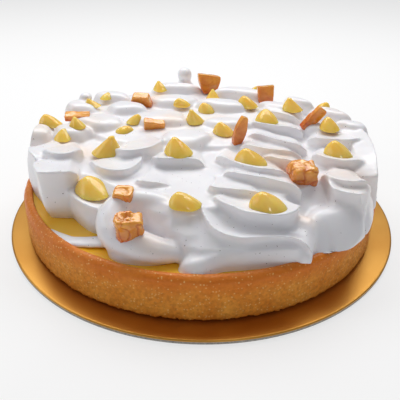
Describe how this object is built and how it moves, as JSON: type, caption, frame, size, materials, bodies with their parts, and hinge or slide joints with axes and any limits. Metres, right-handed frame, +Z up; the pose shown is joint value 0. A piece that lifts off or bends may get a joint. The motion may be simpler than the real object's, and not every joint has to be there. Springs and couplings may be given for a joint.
{
  "type": "lemon meringue pie",
  "caption": "Round lemon meringue pie: an open crumbly crust wall, lemon filling, piped meringue strokes, lemon curd drops and candied peel, on a thin round gold cake board.",
  "frame": {"origin": "centre of the underside of the round cake board, which is the bottom centre of the whole", "axes": "+Z up, out of the top of the pie; +Y away from the front, -Y towards the side the loop of meringue hangs over; +X to the right seen from the front"},
  "size_m": [0.26, 0.26, 0.0745],
  "materials": {
    "board": "glossy gold foil on grey card",
    "crust": "baked shortcrust, dull and grainy, with a faint glaze on the rim",
    "filling": "set lemon curd, smooth and glossy",
    "meringue": "soft whipped meringue with fine dark specks, satin",
    "curd": "lemon curd drops, smooth and glossy",
    "peel": "candied citrus peel, translucent amber with wet edges"
  },
  "bodies": {
    "root": {"cake_board": "board", "crust": "crust", "lemon_filling": "filling", "meringue": "meringue", "curd_drop_01": "curd", "curd_drop_02": "curd", "curd_drop_03": "curd", "curd_drop_04": "curd", "curd_drop_05": "curd", "curd_drop_06": "curd", "curd_drop_07": "curd", "curd_drop_08": "curd", "curd_drop_09": "curd", "curd_drop_10": "curd", "curd_drop_11": "curd", "curd_drop_12": "curd", "curd_drop_13": "curd", "curd_drop_14": "curd", "curd_drop_15": "curd", "curd_drop_16": "curd", "curd_drop_17": "curd", "curd_drop_18": "curd", "curd_drop_19": "curd", "curd_drop_20": "curd", "curd_drop_21": "curd", "curd_drop_22": "curd", "curd_drop_23": "curd", "curd_drop_24": "curd", "curd_drop_25": "curd", "curd_drop_26": "curd", "candied_peel_01": "peel", "candied_peel_02": "peel", "candied_peel_03": "peel", "candied_peel_04": "peel", "candied_peel_05": "peel", "candied_peel_06": "peel", "candied_peel_07": "peel", "candied_peel_08": "peel", "candied_peel_09": "peel", "candied_peel_10": "peel"}
  },
  "joints": []
}
